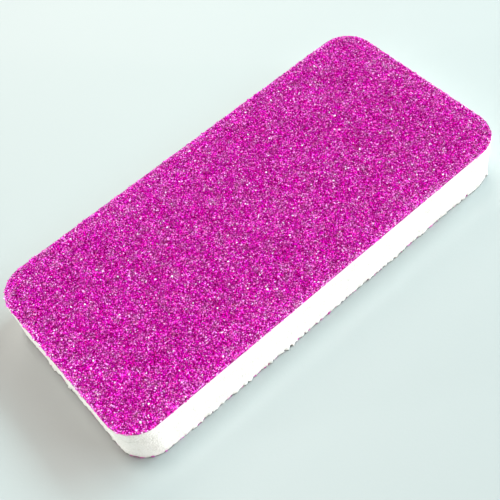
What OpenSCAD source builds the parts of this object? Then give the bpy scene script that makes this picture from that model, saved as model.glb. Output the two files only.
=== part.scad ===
// Nail buffer block: a block of white foam with a sheet of coarse abrasive paper bonded to each face.
// All of its layers are die-cut together, so they share one rounded-rectangle outline.
// Frame: millimetres, origin at the centre of the underside, +X along the length, +Z up.

/* [Block] */
// Length of the block
block_length = 95; // [85:1:105]
// Width of the block
block_width = 45; // [40:1:50]
// Radius of the four upright corners
corner_radius = 6.7; // [3:0.1:12]
// Thickness of the foam core
foam_thickness = 10; // [8:0.5:14]

/* [Abrasive sheets] */
// How far each sheet stops short of the foam's edge, all round
sheet_inset = 0.15; // [0:0.05:0.4]
// Thickness of the adhesive film that bonds a sheet to the foam
adhesive_thickness = 0.08; // [0.05:0.01:0.15]
// Thickness of the backing paper
backing_thickness = 0.15; // [0.1:0.01:0.3]
// Thickness of the make coat, the first resin, which anchors the grains on the paper
make_coat_thickness = 0.05; // [0.03:0.01:0.1]
// Thickness of the size coat, the second resin, which fills between the grains' lower halves
size_coat_thickness = 0.12; // [0.08:0.01:0.2]
// Height that the abrasive grains stand above the size coat
grit_height = 0.2; // [0.1:0.01:0.35]

/* [Hidden] */
$fn = 96;

// Where each layer of a sheet starts, measured outward from the foam's face
adhesive_start = 0;
backing_start = adhesive_start + adhesive_thickness;
make_coat_start = backing_start + backing_thickness;
size_coat_start = make_coat_start + make_coat_thickness;
grit_start = size_coat_start + size_coat_thickness;
sheet_thickness = grit_start + grit_height;

// Heights of the foam's two faces above the block's underside
foam_bottom_z = sheet_thickness;
foam_top_z = foam_bottom_z + foam_thickness;

// Centres of the corner arcs, the same for the foam and the sheets
corner_x = block_length / 2 - corner_radius;
corner_y = block_width / 2 - corner_radius;

// The die's rounded rectangle, drawn in by inset on every side
module die_outline(inset) {
    square([block_length - 2 * inset, 2 * corner_y], center = true);
    square([2 * corner_x, block_width - 2 * inset], center = true);
    for (x = [-corner_x, corner_x], y = [-corner_y, corner_y])
        translate([x, y])
            circle(r = corner_radius - inset);
}

// One layer of an abrasive sheet that lies on the plane z = 0
module sheet_layer(start, thickness) {
    translate([0, 0, start])
        linear_extrude(height = thickness)
            die_outline(sheet_inset);
}

// Puts a layer on the foam's upper face
module on_top() {
    translate([0, 0, foam_top_z])
        children();
}

// Puts a layer on the foam's lower face, upside down
module on_bottom() {
    translate([0, 0, foam_bottom_z])
        mirror([0, 0, 1])
            children();
}

module foam_core() {
    color("white")
        translate([0, 0, foam_bottom_z])
            linear_extrude(height = foam_thickness)
                die_outline(0);
}

module adhesive_film() {
    color("ivory")
        sheet_layer(adhesive_start, adhesive_thickness);
}

module backing_paper() {
    color("lavenderblush")
        sheet_layer(backing_start, backing_thickness);
}

module make_coat() {
    color("hotpink")
        sheet_layer(make_coat_start, make_coat_thickness);
}

module size_coat() {
    color("mediumvioletred")
        sheet_layer(size_coat_start, size_coat_thickness);
}

module abrasive_grit() {
    color([0.79, 0.22, 0.65])
        sheet_layer(grit_start, grit_height);
}

foam_core();
on_top() adhesive_film();  // top_adhesive_film
on_top() backing_paper();  // top_backing_paper
on_top() make_coat();  // top_make_coat
on_top() size_coat();  // top_size_coat
on_top() abrasive_grit();  // top_abrasive_grit
on_bottom() adhesive_film();  // bottom_adhesive_film
on_bottom() backing_paper();  // bottom_backing_paper
on_bottom() make_coat();  // bottom_make_coat
on_bottom() size_coat();  // bottom_size_coat
on_bottom() abrasive_grit();  // bottom_abrasive_grit
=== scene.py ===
"""Looks of the nail buffer block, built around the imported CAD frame. Units are metres."""
import math

import bpy
import numpy as np
from mathutils import Matrix, Vector, noise


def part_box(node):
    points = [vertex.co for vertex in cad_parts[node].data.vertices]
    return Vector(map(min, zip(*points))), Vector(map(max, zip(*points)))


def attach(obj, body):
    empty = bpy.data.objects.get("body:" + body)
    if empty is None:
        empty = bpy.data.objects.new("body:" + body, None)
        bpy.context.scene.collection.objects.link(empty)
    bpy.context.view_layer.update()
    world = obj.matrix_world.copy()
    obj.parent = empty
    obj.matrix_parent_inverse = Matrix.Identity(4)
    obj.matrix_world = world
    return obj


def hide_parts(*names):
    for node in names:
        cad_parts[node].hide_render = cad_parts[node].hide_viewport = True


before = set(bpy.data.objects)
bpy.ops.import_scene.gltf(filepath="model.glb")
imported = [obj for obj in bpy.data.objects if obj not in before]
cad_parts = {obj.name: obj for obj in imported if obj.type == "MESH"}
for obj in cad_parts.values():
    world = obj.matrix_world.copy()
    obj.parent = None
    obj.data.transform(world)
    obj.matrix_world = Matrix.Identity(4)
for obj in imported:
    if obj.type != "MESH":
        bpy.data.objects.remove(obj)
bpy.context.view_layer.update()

MM = 0.001
SIDES = ("top", "bottom")

# The block's own dimensions, read from the CAD frame
foam_low, foam_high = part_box("foam_core")
HALF_LENGTH = foam_high.x
HALF_WIDTH = foam_high.y
# The arc ends where the foam's end face stops being flat, which gives the corner radius
foam_points = [v.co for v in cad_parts["foam_core"].data.vertices]
END_FACE_HALF = max(abs(p.y) for p in foam_points if p.x > HALF_LENGTH - 0.001 * MM)
CORNER_RADIUS = HALF_WIDTH - END_FACE_HALF
SHEET_INSET = HALF_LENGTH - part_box("top_abrasive_grit")[1].x
BLOCK_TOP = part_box("top_abrasive_grit")[1].z

# Shapes and places of the abrasive grains
GRAIN_SEED = 7
GRAIN_PITCH = 0.34 * MM       # mean distance between neighbours
PITCH_SHAKE = 0.22            # how far a grain strays from its even place, as a share of the pitch
GRAIN_WIDTH = 0.20 * MM       # mean half-width
WIDTH_SPREAD = 0.22           # how much grains differ in width
WIDTH_RANGE = (0.5, 1.5)      # narrowest and widest, as shares of the mean
COARSE_FROM = 1.0             # a grain of at least this share of the mean width counts as coarse
GRAIN_SHAPES = 80             # different shapes, each used many times with its own turn and size
CORNER_SHAKE = 0.38           # how far a crystal's corners turn away from its axes
CORNER_RANGE = (0.8, 1.3)     # shortest and longest corner
TIP_SKEW = (3.0, 1.6)         # more grains reach almost to the face than stay low
TALLEST = 0.9                 # height of the tallest, as a share of the room above the resin
FOOT_DEPTH = 0.8              # how deep the feet stand, as a share of the size coat
EDGE_JUT = 0.35 * MM          # how far the outermost row wanders out over the edge and back
EDGE_WAVE = 1.1 * MM          # length of that wandering
EDGE_ROW = 0.35 * GRAIN_PITCH  # mean distance of the outermost row from the edge
EDGE_ROW_RANGE = (0.4, 1.4)   # nearest and farthest of that row, as shares of the mean
EDGE_ROW_GAP = 1.5            # where the inner grains start, in the same shares
EDGE_ROW_SHAKE = 0.4          # how far its grains stray along the edge, as a share of the pitch

# Shades of the abrasive grains: 0 is deep magenta, 1 is pink and 2 is almost white
SHADE_FOCUS = 4.5             # how closely the grains keep to the middle shade
FACET_SPREAD = 0.40           # how much the facets of one grain differ
PAINTED_GLINT_SHARE = 0.010           # share of the grains painted pale as painted glints
PAINTED_GLINT_SHADES = (1.1, 2.4)       # their shades, from light pink to almost white, as painted glints
EDGE_PALING = 0.22            # how much lighter the grains are at the very edge of a sheet
EDGE_REACH = 0.7 * MM         # distance from the edge over which that fades
MARGIN_PALING = 0.17          # the same again over a wider margin
MARGIN_REACH = 3 * MM

# Stage, with angles in degrees and powers in watts
FLOOR_REACH = 1.6             # half the side of the table top
FLOOR_LIGHT_FADE = 180 * MM         # depth of table over which its colour changes, as painted light
LAMP_DISTANCE = 2.4
COOL = (0.69, 0.945, 0.98)
WARM = (1.0, 0.98, 0.915)
PINK = (1.0, 0.70, 0.72)
WHITE = (1.0, 1.0, 1.0)
LAMPS = (
    # Name, azimuth (0 at +X, 90 at +Y), elevation, size, power and colour.
    # The three keys stand side by side as one long softbox to the right
    ("key_1", 0, 35, 0.8, 43, COOL),
    ("key_2", -25, 35, 0.8, 31, COOL),
    ("key_3", -50, 35, 0.8, 16, COOL),
    ("roof", 90, 76, 0.7, 20, WARM),
    ("back", 60, 44, 1.0, 16, WARM),
    # These two skim the table: they light the cut sides and hardly the floor
    ("left_low", 150, 3, 0.2, 26, WHITE),
    ("front_low", -50, 3, 0.2, 25, PINK),
)
TENT_STRENGTH = 1.10
TENT_BAND = (0.42, 0.62)      # sines of the elevations where it starts to darken and where it is dark
CAMERA_DISTANCE = 168.8 * MM
CAMERA_NEAR = 10 * MM
CAMERA_LENS = 64.3            # mm, on a sensor 36 mm wide
SENSOR_WIDTH = 36.0
CAMERA_AIM = (-0.136, -0.308)  # shares of the block's half length and half width
CAMERA_TURN = 29.86           # from +Y towards +X
CAMERA_DIP = 56.22
CAMERA_ROLL = -13.08

# Foam skin
FOAM_STEP = 0.18 * MM         # size of the mesh's squares
FOAM_DISH = 0.10 * MM         # how far the cut side is dished at mid-height
RIM_HEIGHT = 0.4 * MM         # how far the rounding of the two rims reaches
RIM_ROUNDING = 0.12 * MM      # how far it draws them in
WAVES = ((1.6 * MM, 0.04 * MM), (0.45 * MM, 0.04 * MM))  # length and height of the cut side's waves
CELL_SIZE = 0.55 * MM         # distance between cut cells
CELL_REACH = 0.38             # share of that distance from a cell's centre where its pit starts
CELL_DEPTH = 0.35 * MM        # slope of the pit, over that distance
LIP_HEIGHT = 1.0 * MM         # how far up the ragged lower lip reaches
TUFT_SIZE = 0.75 * MM         # length of a tuft along the lip
TUFT_OUT = 0.46 * MM          # how far tufts stand out
TUFT_NOISE = (0.7, 2.3, 4)    # smoothness, step between octaves and number of octaves
SWAY_SIZE = 2.6 * MM          # length of the lip's slower wander in and out
SWAY_OUT = 0.5 * MM           # how far it goes
TUFT_DROP = 0.25 * MM         # how much the tufts' hang varies
DROP_NOISE = (0.9, 2.1, 3)    # its noise, given like the tufts'
LIP_DROP = 0.54 * MM          # how far the lip hangs over the lower sheet's edge
LIP_LOWEST = 0.53 * MM        # the most it may hang, which stays above the table
NOTCH_IN = 0.80 * MM          # how far notches cut into the lip
NOTCH_RISE = 1.3 * MM         # how far they lift its edge
NOTCH_STEP = 1.3              # how much closer together they are than the tufts
NOTCH_START = 0.1             # how strong their noise is before one opens
NOTCH_SHIFT = Vector((9, 3, 5))  # keeps their noise apart from the tufts'
LIP_INNERMOST = -0.11 * MM    # the deepest the lip may go in, which clears the sheet's edge
TOP_CAP_INSET = 0.20 * MM     # how far the flat top stops short of the foam's drawn edge
LOW_CAP_INSET = 0.13 * MM     # the same for the flat underside, which clears the lower sheet's edge


# ---------------------------------------------------------------- outlines

def outline_point(distance, half_length, half_width, radius):
    """Point and outward normal at a distance along a rounded rectangle, anticlockwise in four quarters."""
    corner_x, corner_y = half_length - radius, half_width - radius
    corners = (
        (corner_x, corner_y),
        (-corner_x, corner_y),
        (-corner_x, -corner_y),
        (corner_x, -corner_y),
    )
    arc = radius * math.pi / 2
    for quarter, corner in enumerate(corners):
        centre = Vector(corner)
        facing = quarter * math.pi / 2
        normal = Vector((math.cos(facing), math.sin(facing)))
        straight = 2 * (corner_x if quarter % 2 else corner_y)
        if distance < straight:
            along = Vector((-normal.y, normal.x))
            return centre + normal * radius + along * (distance - straight), normal
        distance -= straight
        if distance < arc:
            turned = facing + distance / radius
            normal = Vector((math.cos(turned), math.sin(turned)))
            return centre + normal * radius, normal
        distance -= arc
    raise ValueError("the distance is past the outline's end")


def outline_length(half_length, half_width, radius):
    return 4 * (half_length + half_width) - 8 * radius + 2 * math.pi * radius


def depth_inside(points, half_length, half_width, radius):
    """How far each point lies inside a rounded rectangle, negative outside it."""
    past = np.abs(points) - np.array([half_length - radius, half_width - radius])
    outside = np.linalg.norm(np.maximum(past, 0), axis=1)
    inside = np.minimum(past.max(axis=1), 0)
    return radius - outside - inside


# ---------------------------------------------------------------- materials

def new_material(name):
    material = bpy.data.materials.new(name)
    material.use_nodes = True
    tree = material.node_tree
    shader = tree.nodes["Principled BSDF"]
    return material, tree, shader


def add_node(tree, kind, values=None, **settings):
    node = tree.nodes.new(kind)
    for key, value in settings.items():
        setattr(node, key, value)
    for socket, value in (values or {}).items():
        node.inputs[socket].default_value = value
    return node


def add_ramp(tree, factor, stops):
    ramp = tree.nodes.new("ShaderNodeValToRGB")
    elements = ramp.color_ramp.elements
    while len(elements) < len(stops):
        elements.new(0.5)
    for element, (position, colour) in zip(elements, stops):
        element.position = position
        element.color = (*colour, 1)
    tree.links.new(factor, ramp.inputs["Fac"])
    return ramp.outputs["Color"]


def add_math(tree, operation, first, second):
    node = tree.nodes.new("ShaderNodeMath")
    node.operation = operation
    for socket, value in zip(node.inputs, (first, second)):
        if isinstance(value, (int, float)):
            socket.default_value = value
        else:
            tree.links.new(value, socket)
    return node.outputs[0]


def add_noise(tree, size, detail=3.0):
    """Noise whose blobs are about size across, in metres."""
    coordinates = add_node(tree, "ShaderNodeTexCoord")
    texture = add_node(tree, "ShaderNodeTexNoise", {"Scale": 1 / size, "Detail": detail})
    tree.links.new(coordinates.outputs["Object"], texture.inputs["Vector"])
    return texture.outputs["Fac"]


def add_swing(tree, size, amount, middle=0.0, detail=1.0):
    """Noise that swings about a middle value."""
    swing = add_math(tree, "MULTIPLY", add_noise(tree, size, detail), amount)
    return add_math(tree, "ADD", swing, middle - amount / 2)


def add_cells(tree, size):
    """Distance from the centres of cells that are about size across, in metres."""
    coordinates = add_node(tree, "ShaderNodeTexCoord")
    texture = add_node(tree, "ShaderNodeTexVoronoi", {"Scale": 1 / size})
    tree.links.new(coordinates.outputs["Object"], texture.inputs["Vector"])
    return texture.outputs["Distance"]


def add_bump(tree, shader, height, depth, strength=1.0):
    bump = add_node(tree, "ShaderNodeBump", {"Distance": depth, "Strength": strength})
    tree.links.new(height, bump.inputs["Height"])
    tree.links.new(bump.outputs["Normal"], shader.inputs["Normal"])


def grain_material():
    """Mineral grains under magenta resin: each has its own shade, and a few are painted pale pink to white
    as painted glints.
    """
    material, tree, shader = new_material("abrasive_grains")
    shade = add_node(tree, "ShaderNodeAttribute", attribute_name="grain_shade").outputs["Fac"]
    patches = add_swing(tree, size=5.0 * MM, amount=0.40, detail=4.0)
    flaws = add_swing(tree, size=0.10 * MM, amount=3.0)
    value = add_math(tree, "ADD", shade, add_math(tree, "ADD", patches, flaws))
    # The ramp's right-hand end is for the painted glints, so the other grains use its left half
    colour = add_ramp(tree, add_math(tree, "MULTIPLY", value, 0.5), (
        (0.00, (0.13, 0.000, 0.05)),
        (0.13, (0.43, 0.000, 0.21)),
        (0.26, (0.72, 0.003, 0.425)),
        (0.40, (0.93, 0.050, 0.620)),
        (0.60, (0.97, 0.17, 0.77)),
        (1.00, (1.0, 0.92, 0.98)),
    ))
    # Each spot of resin is a little redder or more violet than the next
    tint = tree.nodes.new("ShaderNodeHueSaturation")
    hue = add_swing(tree, size=0.23 * MM, amount=0.27, middle=0.505)
    tree.links.new(hue, tint.inputs["Hue"])
    # In patches it is fuller and brighter, or greyer and duller
    extra_fullness = 0.04
    fullness = add_swing(tree, size=1.9 * MM, amount=0.80, middle=1 + extra_fullness, detail=5.0)
    tree.links.new(fullness, tint.inputs["Saturation"])
    tree.links.new(add_math(tree, "SUBTRACT", fullness, extra_fullness), tint.inputs["Value"])
    tree.links.new(colour, tint.inputs["Color"])
    tree.links.new(tint.outputs["Color"], shader.inputs["Base Color"])
    # Paler grains are smoother, and only the palest ones glint
    roughest, smoothing, smoothest = 0.50, 0.25, 0.1
    roughness = add_math(tree, "SUBTRACT", roughest, add_math(tree, "MULTIPLY", shade, smoothing))
    tree.links.new(add_math(tree, "MAXIMUM", roughness, smoothest), shader.inputs["Roughness"])
    glint_from, glint_gain = 0.6, 0.5
    gloss = add_math(tree, "MULTIPLY", add_math(tree, "SUBTRACT", shade, glint_from), glint_gain)
    tree.links.new(add_math(tree, "MAXIMUM", gloss, 0.0), shader.inputs["Specular IOR Level"])
    add_bump(tree, shader, add_noise(tree, 0.09 * MM), 0.02 * MM)
    return material


def size_resin_material():
    """Dark magenta resin, pulled up into small waves between the grains."""
    material, tree, shader = new_material("size_resin")
    colour = add_ramp(tree, add_noise(tree, 0.5 * MM), (
        (0.3, (0.14, 0.000, 0.07)),
        (0.7, (0.40, 0.000, 0.24)),
    ))
    tree.links.new(colour, shader.inputs["Base Color"])
    shader.inputs["Roughness"].default_value = 0.35
    shader.inputs["Specular IOR Level"].default_value = 0.08
    add_bump(tree, shader, add_cells(tree, GRAIN_PITCH), 0.08 * MM)
    return material


def make_resin_material():
    """Thinner first coat of resin, seen only as a pink line at the cut edge."""
    material, tree, shader = new_material("make_resin")
    colour = add_ramp(tree, add_noise(tree, 0.3 * MM), (
        (0.3, (0.62, 0.06, 0.42)),
        (0.7, (0.86, 0.20, 0.66)),
    ))
    tree.links.new(colour, shader.inputs["Base Color"])
    shader.inputs["Roughness"].default_value = 0.38
    add_bump(tree, shader, add_noise(tree, 0.15 * MM), 0.02 * MM)
    return material


def paper_material():
    """Fibrous paper, stained pink by the resin that soaked into it."""
    material, tree, shader = new_material("backing_paper")
    coordinates = add_node(tree, "ShaderNodeTexCoord")
    stretch = add_node(tree, "ShaderNodeMapping", {"Scale": (1.0, 1.0, 5.0)})
    fibres = add_node(tree, "ShaderNodeTexNoise", {"Scale": 1 / (0.35 * MM), "Detail": 6.0})
    tree.links.new(coordinates.outputs["Object"], stretch.inputs["Vector"])
    tree.links.new(stretch.outputs["Vector"], fibres.inputs["Vector"])
    colour = add_ramp(tree, fibres.outputs["Fac"], (
        (0.3, (0.70, 0.32, 0.58)),
        (0.7, (0.88, 0.62, 0.80)),
    ))
    tree.links.new(colour, shader.inputs["Base Color"])
    shader.inputs["Roughness"].default_value = 0.85
    add_bump(tree, shader, fibres.outputs["Fac"], 0.03 * MM)
    return material


def adhesive_material():
    """Milky acrylic adhesive."""
    material, tree, shader = new_material("adhesive")
    colour = add_ramp(tree, add_noise(tree, 0.8 * MM), (
        (0.3, (0.80, 0.76, 0.66)),
        (0.7, (0.92, 0.90, 0.82)),
    ))
    tree.links.new(colour, shader.inputs["Base Color"])
    shader.inputs["Roughness"].default_value = 0.45
    add_bump(tree, shader, add_noise(tree, 0.4 * MM), 0.02 * MM)
    return material


def foam_material():
    """White closed-cell foam: open cut cells, with faint grey painted shade in their hollows."""
    material, tree, shader = new_material("foam")
    cells = add_cells(tree, 0.30 * MM)
    clouds = add_noise(tree, 2.2 * MM, detail=6.0)
    cell_share = 0.4
    fine = add_math(tree, "MULTIPLY", cells, cell_share)
    coarse = add_math(tree, "MULTIPLY", clouds, 1 - cell_share)
    depth = add_math(tree, "ADD", fine, coarse)
    # The ramp paints faint grey shade into the cells' hollows, mixed with cloudy mottling
    colour = add_ramp(tree, depth, (
        (0.25, (0.66, 0.66, 0.61)),
        (0.42, (0.85, 0.84, 0.79)),
        (0.60, (0.95, 0.94, 0.905)),
    ))
    tree.links.new(colour, shader.inputs["Base Color"])
    shader.inputs["Roughness"].default_value = 0.8
    add_bump(tree, shader, cells, 0.08 * MM, strength=0.7)
    return material


def floor_material():
    """Pale mint table top, with painted light that makes it paler towards the back."""
    material, tree, shader = new_material("floor")
    coordinates = add_node(tree, "ShaderNodeTexCoord")
    parts = add_node(tree, "ShaderNodeSeparateXYZ")
    tree.links.new(coordinates.outputs["Object"], parts.inputs["Vector"])
    depth = add_math(tree, "ADD", add_math(tree, "DIVIDE", parts.outputs["Y"], FLOOR_LIGHT_FADE), 0.5)
    # Painted light: darker at the front and paler towards the back
    colour = add_ramp(tree, depth, (
        (0.0, (0.440, 0.448, 0.445)),
        (0.5, (0.495, 0.505, 0.500)),
        (1.0, (0.542, 0.540, 0.532)),
    ))
    tree.links.new(colour, shader.inputs["Base Color"])
    shader.inputs["Roughness"].default_value = 0.5
    add_bump(tree, shader, add_noise(tree, 0.6 * MM), 0.01 * MM)
    return material


# ---------------------------------------------------------------- pieces

def new_piece(name, vertices, faces, material):
    mesh = bpy.data.meshes.new(name)
    mesh.from_pydata(vertices, [], faces)
    mesh.update()
    mesh.materials.append(material)
    piece = bpy.data.objects.new(name, mesh)
    bpy.context.scene.collection.objects.link(piece)
    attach(piece, "root")
    return piece


OCTAHEDRON = (
    (0, 2, 4), (2, 1, 4), (1, 3, 4), (3, 0, 4),
    (2, 0, 5), (1, 2, 5), (3, 1, 5), (0, 3, 5),
)


def grain_shapes(rng, count):
    """Irregular eight-sided crystals of about unit half-width: one (6, 3) array each."""
    axes = np.array([(1, 0, 0), (-1, 0, 0), (0, 1, 0), (0, -1, 0), (0, 0, 1), (0, 0, -1)], float)
    directions = axes + rng.uniform(-CORNER_SHAKE, CORNER_SHAKE, (count, 6, 3))
    directions /= np.linalg.norm(directions, axis=2, keepdims=True)
    return directions * rng.uniform(*CORNER_RANGE, (count, 6, 1))


def random_turns(rng, count):
    """Rotation matrices spread evenly over all directions."""
    quaternions = rng.normal(size=(count, 4))
    quaternions /= np.linalg.norm(quaternions, axis=1, keepdims=True)
    w, x, y, z = quaternions.T
    rows = (
        (1 - 2 * (y * y + z * z), 2 * (x * y - z * w), 2 * (x * z + y * w)),
        (2 * (x * y + z * w), 1 - 2 * (x * x + z * z), 2 * (y * z - x * w)),
        (2 * (x * z - y * w), 2 * (y * z + x * w), 1 - 2 * (x * x + y * y)),
    )
    return np.stack([np.stack(row, axis=-1) for row in rows], axis=1)


def grain_places(rng, half_length, half_width, radius):
    """Grain centres: a shaken honeycomb inside the outline, and one row along its edge."""
    row_pitch = GRAIN_PITCH * math.sqrt(3) / 2
    rows = np.arange(-half_width, half_width, row_pitch)
    columns = np.arange(-half_length, half_length, GRAIN_PITCH)
    x, y = np.meshgrid(columns, rows)
    x[1::2] += GRAIN_PITCH / 2
    places = np.stack([x.ravel(), y.ravel()], axis=1)
    places += rng.normal(0, PITCH_SHAKE * GRAIN_PITCH, places.shape)
    places = places[depth_inside(places, half_length, half_width, radius) > EDGE_ROW_GAP * EDGE_ROW]
    total = outline_length(half_length, half_width, radius)
    edge = []
    for distance in np.arange(0, total - GRAIN_PITCH / 2, GRAIN_PITCH):
        shaken = distance + rng.uniform(0, EDGE_ROW_SHAKE) * GRAIN_PITCH
        point, normal = outline_point(shaken, half_length, half_width, radius)
        wander = noise.noise(point.to_3d() / EDGE_WAVE) * EDGE_JUT
        edge.append(point + normal * (wander - EDGE_ROW * rng.uniform(*EDGE_ROW_RANGE)))
    return np.concatenate([places, np.array(edge)])


def grain_piece(name, corners, shades, mirrored, material):
    """One piece of many separate grains, each with six corners and eight facets of different shades."""
    faces = np.array(OCTAHEDRON)[None] + 6 * np.arange(len(corners))[:, None, None]
    if mirrored:
        faces = faces[:, :, ::-1]
    vertices = corners.reshape(-1, 3).tolist()
    piece = new_piece(name, vertices, faces.reshape(-1, 3).tolist(), material)
    attribute = piece.data.attributes.new("grain_shade", "FLOAT", "FACE")
    attribute.data.foreach_set("value", shades.ravel().astype(np.float32))
    return piece


def abrasive_grit(side, material):
    """The grains of one sheet, with their feet in the resin and their tips as the face, sorted by size."""
    node = side + "_abrasive_grit"
    rng = np.random.default_rng(GRAIN_SEED + SIDES.index(side))
    low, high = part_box(node)
    places = grain_places(rng, high.x, high.y, CORNER_RADIUS - SHEET_INSET)
    count = len(places)
    shapes = grain_shapes(rng, GRAIN_SHAPES)[rng.integers(0, GRAIN_SHAPES, count)]
    widths = rng.normal(1.0, WIDTH_SPREAD, count).clip(*WIDTH_RANGE)
    turned = np.einsum("nij,nkj->nki", random_turns(rng, count), shapes)
    corners = turned * GRAIN_WIDTH * widths[:, None, None]

    # Heights run outward from the resin's face: a foot below it and a tip above it
    outward = 1 if side == "top" else -1
    resin_face = low.z if side == "top" else high.z
    stand = high.z - low.z
    size_low, size_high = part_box(side + "_size_coat")
    foot = FOOT_DEPTH * (size_high.z - size_low.z)
    tips = rng.beta(*TIP_SKEW, (count, 1)) * stand * TALLEST
    heights = corners[:, :, 2] - corners[:, :, 2].min(axis=1, keepdims=True)
    heights /= heights.max(axis=1, keepdims=True)
    corners[:, :, 2] = resin_face + outward * (heights * (tips + foot) - foot)
    corners[:, :, :2] += places[:, None, :]

    # The outer grains are paler, most at the very edge of the sheet and a little over a wider margin
    edge_depth = depth_inside(places, high.x, high.y, CORNER_RADIUS - SHEET_INSET)
    shades = rng.beta(SHADE_FOCUS, SHADE_FOCUS, count)
    for paling, reach in ((EDGE_PALING, EDGE_REACH), (MARGIN_PALING, MARGIN_REACH)):
        shades += paling * np.exp(-edge_depth / reach)
    # Painted glints: a few grains get pale shades that stand in for highlights
    painted_glint = rng.random(count) < PAINTED_GLINT_SHARE
    shades[painted_glint] = rng.uniform(*PAINTED_GLINT_SHADES, painted_glint.sum())
    shades = shades[:, None] + rng.normal(0, FACET_SPREAD, (count, len(OCTAHEDRON)))
    coarse = widths >= COARSE_FROM
    mirrored = side == "bottom"
    for size, chosen in (("coarse", coarse), ("fine", ~coarse)):
        name = f"{node}_{size}_grains"
        piece = grain_piece(name, corners[chosen], shades[chosen], mirrored, material)
        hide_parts(node)


def lip_offset(point, level, out):
    """The lower rim where the die tore it: tufts hang over the lower sheet's edge, with notches between."""
    near = (1 - level / LIP_HEIGHT) ** 2
    along = Vector((point.x, point.y, 0)) / TUFT_SIZE
    tuft = noise.fractal(along + Vector((0, 0, level / TUFT_SIZE)), *TUFT_NOISE)
    hang = noise.fractal(along, *DROP_NOISE)
    notch = max(0.0, noise.noise(along * NOTCH_STEP + NOTCH_SHIFT) - NOTCH_START)
    sway = noise.noise(Vector((point.x, point.y, 0)) / SWAY_SIZE)
    out += near * (TUFT_OUT * tuft + SWAY_OUT * sway - NOTCH_IN * notch)
    drop = max(0.0, LIP_DROP + TUFT_DROP * hang - NOTCH_RISE * notch)
    return max(out, LIP_INNERMOST), near * min(drop, LIP_LOWEST)


def foam_offset(point, level, height):
    """How far the cut foam stands out of its drawn side, and how far it hangs down there, in metres."""
    place = Vector((point.x, point.y, level))
    rim = min(1.0, min(level, height - level) / RIM_HEIGHT)
    out = sum(noise.noise(place / length) * wave for length, wave in WAVES)
    out -= FOAM_DISH * math.sin(math.pi * level / height)
    out -= RIM_ROUNDING * (1 - rim) ** 2
    nearest_cell = noise.voronoi(place / CELL_SIZE)[0][0]
    out -= max(0.0, CELL_REACH - nearest_cell) * CELL_DEPTH * rim
    if level > LIP_HEIGHT:
        return out, 0.0
    return lip_offset(point, level, out)


def foam_core(material):
    """The foam block as one closed skin: a cut side of pits and tufts between two flat faces."""
    total = outline_length(HALF_LENGTH, HALF_WIDTH, CORNER_RADIUS)
    columns = round(total / FOAM_STEP)
    height = foam_high.z - foam_low.z
    rows = round(height / FOAM_STEP)
    distances = [total * column / columns for column in range(columns)]
    ring = [outline_point(distance, HALF_LENGTH, HALF_WIDTH, CORNER_RADIUS) for distance in distances]
    vertices = []
    for row in range(rows + 1):
        level = height * row / rows
        for point, normal in ring:
            out, drop = foam_offset(point, level, height)
            place = point + normal * out
            vertices.append((place.x, place.y, foam_low.z + level - drop))
    faces = []
    for row in range(rows):
        for column in range(columns):
            after = (column + 1) % columns
            low, high = row * columns, (row + 1) * columns
            faces.append((low + column, low + after, high + after, high + column))
    # Flat faces for the two sheets, each with a ring drawn in about to the sheet's edge
    caps = (
        (foam_low.z, 0, LOW_CAP_INSET, True),
        (foam_high.z, rows * columns, TOP_CAP_INSET, False),
    )
    for level, first, inset, turned in caps:
        start = len(vertices)
        for point, normal in ring:
            place = point - normal * inset
            vertices.append((place.x, place.y, level))
        for column in range(columns):
            after = (column + 1) % columns
            rim = (first + column, first + after, start + after, start + column)
            faces.append(rim[::-1] if turned else rim)
        cap = tuple(range(start, start + columns))
        faces.append(cap[::-1] if turned else cap)
    piece = new_piece("foam_core_skin", vertices, faces, material)
    piece.data.shade_smooth()
    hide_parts("foam_core")


# ---------------------------------------------------------------- stage, light and camera

def add_floor():
    """Table top, a plain square under the block."""
    reach = FLOOR_REACH
    corners = [(-reach, -reach, 0), (reach, -reach, 0), (reach, reach, 0), (-reach, reach, 0)]
    mesh = bpy.data.meshes.new("floor")
    mesh.from_pydata(corners, [], [(0, 1, 2, 3)])
    mesh.materials.append(floor_material())
    floor = bpy.data.objects.new("floor", mesh)
    bpy.context.scene.collection.objects.link(floor)


def add_lamp(name, azimuth, elevation, size, power, colour):
    """A square soft light aimed at the block."""
    light = bpy.data.lights.new(name, "AREA")
    light.size = size
    light.energy = power
    light.color = colour
    lamp = bpy.data.objects.new(name, light)
    turn, rise = math.radians(azimuth), math.radians(elevation)
    away = Vector((math.cos(rise) * math.cos(turn), math.cos(rise) * math.sin(turn), math.sin(rise)))
    lamp.location = away * LAMP_DISTANCE
    lamp.rotation_euler = away.to_track_quat("Z", "Y").to_euler()
    bpy.context.scene.collection.objects.link(lamp)


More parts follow.
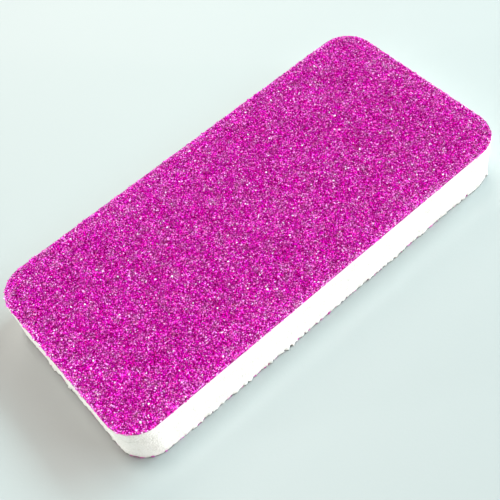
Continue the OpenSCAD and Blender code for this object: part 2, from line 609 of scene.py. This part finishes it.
def add_camera():
    """A long-lens view from above the front left, slightly rolled."""
    camera = bpy.data.cameras.new("camera")
    camera.lens = CAMERA_LENS
    camera.sensor_width = SENSOR_WIDTH
    camera.clip_start = CAMERA_NEAR
    holder = bpy.data.objects.new("camera", camera)
    along, across = CAMERA_AIM
    aim = Vector((along * HALF_LENGTH, across * HALF_WIDTH, BLOCK_TOP))
    turn, dip = math.radians(CAMERA_TURN), math.radians(CAMERA_DIP)
    flat = Vector((math.sin(turn), math.cos(turn), 0))
    forward = flat * math.cos(dip) - Vector((0, 0, math.sin(dip)))
    roll = Matrix.Rotation(math.radians(CAMERA_ROLL), 3, "Z")
    facing = (-forward).to_track_quat("Z", "Y").to_matrix() @ roll
    holder.matrix_world = Matrix.Translation(aim - forward * CAMERA_DISTANCE) @ facing.to_4x4()
    bpy.context.scene.collection.objects.link(holder)
    bpy.context.scene.camera = holder


def set_world():
    """Light tent: pale up to well above the horizon, to light the block's sides, and dark overhead."""
    world = bpy.data.worlds.new("light_tent")
    bpy.context.scene.world = world
    world.use_nodes = True
    tree = world.node_tree
    direction = add_node(tree, "ShaderNodeTexCoord")
    parts = add_node(tree, "ShaderNodeSeparateXYZ")
    tree.links.new(direction.outputs["Generated"], parts.inputs["Vector"])
    full, dark = TENT_BAND
    sky = add_ramp(tree, parts.outputs["Z"], (
        (full, WARM),
        (dark, (0.0, 0.0, 0.0)),
    ))
    background = tree.nodes["Background"]
    background.inputs["Strength"].default_value = TENT_STRENGTH
    tree.links.new(sky, background.inputs["Color"])


def set_light():
    bpy.context.scene.view_settings.view_transform = "Standard"
    set_world()
    for lamp in LAMPS:
        add_lamp(*lamp)


# ---------------------------------------------------------------- build

grains = grain_material()
layer_materials = {
    "size_coat": size_resin_material(),
    "make_coat": make_resin_material(),
    "backing_paper": paper_material(),
    "adhesive_film": adhesive_material(),
}
for side in SIDES:
    abrasive_grit(side, grains)
    for layer, material in layer_materials.items():
        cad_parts[f"{side}_{layer}"].material_slots[0].material = material
foam_core(foam_material())
add_floor()
set_light()
add_camera()
